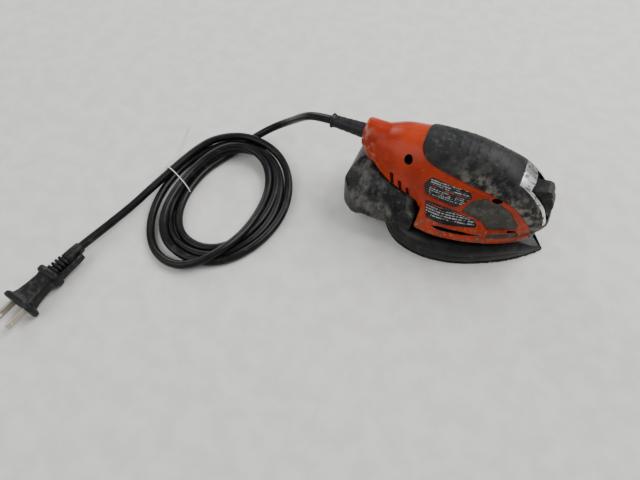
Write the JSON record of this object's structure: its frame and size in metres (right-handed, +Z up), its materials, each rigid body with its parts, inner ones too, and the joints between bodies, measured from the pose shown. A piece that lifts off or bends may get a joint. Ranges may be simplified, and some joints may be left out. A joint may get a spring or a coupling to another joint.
{
  "type": "detail sander",
  "caption": "Corded detail sander with a teardrop pad, rubber topped housing, nose rocker switch, slide-off dust canister and coiled mains cord with its plug.",
  "frame": {"origin": "on the sanding face's plane, under the middle of the tool's length from the strain relief's end to the pad's tip", "axes": "+X towards the pad's pointed tip and the switch, +Y towards the tool's left side, +Z up from the sanding face"},
  "size_m": [0.367, 0.2863, 0.092],
  "materials": {
    "red_housing": "satin, scuffed and dusty",
    "grip_rubber": "matt, soft touch",
    "silver_trim": "metallic silver paint, worn",
    "grey_panel": "fine texture, dusty",
    "label_film": "printed film, no lettering",
    "steel": "bright zinc plated",
    "laminations": "stacked sheet edges",
    "copper": "varnished copper",
    "black_plastic": "glass filled, fine texture",
    "carbon": "pressed graphite",
    "zinc": "die cast",
    "canister_plastic": "smoky black, scuffed and dusty",
    "filter_paper": "pleated paper",
    "foam": "closed cell foam",
    "hook_fabric": "hook pile",
    "abrasive": "grit on backing",
    "cord_jacket": "smooth satin",
    "wire_insulation": "smooth",
    "blade_metal": "nickel plated",
    "tie_thread": "twisted thread"
  },
  "bodies": {
    "housing": {"bearing_boot": "grip_rubber", "bearing_plate": "black_plastic", "brush_holders": "black_plastic", "brush_springs": "steel", "canister_seal": "grip_rubber", "carbon_brushes": "carbon", "clamp_screws": "steel", "coil_tie": "tie_thread", "cord_clamp": "black_plastic", "cord_clip": "cord_jacket", "cord_coil": "cord_jacket", "cord_lead": "cord_jacket", "cord_tail": "cord_jacket", "field_coils": "copper", "field_stack": "laminations", "housing_left": "red_housing", "housing_right": "red_housing", "housing_screws": "steel", "inner_cord": "cord_jacket", "lead_wires": "wire_insulation", "leg_screws": "steel", "lower_bearing": "steel", "lower_label_left": "label_film", "lower_label_right": "label_film", "platen_legs": "grip_rubber", "plug_blades": "blade_metal", "plug_body": "cord_jacket", "plug_sleeve": "cord_jacket", "rocker_pin": "steel", "side_panel_left": "grey_panel", "side_panel_right": "grey_panel", "skirt_strip_left": "grey_panel", "skirt_strip_right": "grey_panel", "strain_relief": "grip_rubber", "switch_bezel": "silver_trim", "switch_body": "black_plastic", "top_grip": "grip_rubber", "upper_bearing": "steel", "upper_label_left": "label_film", "upper_label_right": "label_film"},
    "rotor": {"motor_shaft": "steel", "armature_core": "laminations", "armature_windings": "copper", "commutator": "copper", "fan": "black_plastic", "eccentric": "zinc", "platen_screw": "steel"},
    "platen": {"platen": "black_plastic", "platen_bearing": "steel", "foam_pad": "foam", "hook_pad": "hook_fabric", "sanding_sheet": "abrasive", "tip_sheet": "abrasive"},
    "rocker": {"switch_rocker": "grip_rubber"},
    "canister": {"canister_shell": "canister_plastic", "filter_frame": "black_plastic", "dust_filter": "filter_paper"}
  },
  "joints": [
    {"name": "motor_spin", "type": "hinge", "parent": "housing", "child": "rotor", "pos_m": [0.02, 0, 0.05], "axis": [0, 0, 1], "continuous": true},
    {"name": "platen_orbit", "type": "hinge", "parent": "rotor", "child": "platen", "pos_m": [0.0209, 0, 0.015], "axis": [0, 0, 1], "continuous": true},
    {"name": "switch_rock", "type": "hinge", "parent": "housing", "child": "rocker", "pos_m": [0.069, 0, 0.056], "axis": [0, -1, 0], "range_deg": [0, 14]},
    {"name": "canister_pull", "type": "slide", "parent": "housing", "child": "canister", "axis": [-1, 0, 0], "range_m": [0, 0.045]}
  ],
  "couplings": [
    {"joint": "platen_orbit", "follows": "motor_spin", "ratio": -1}
  ]
}
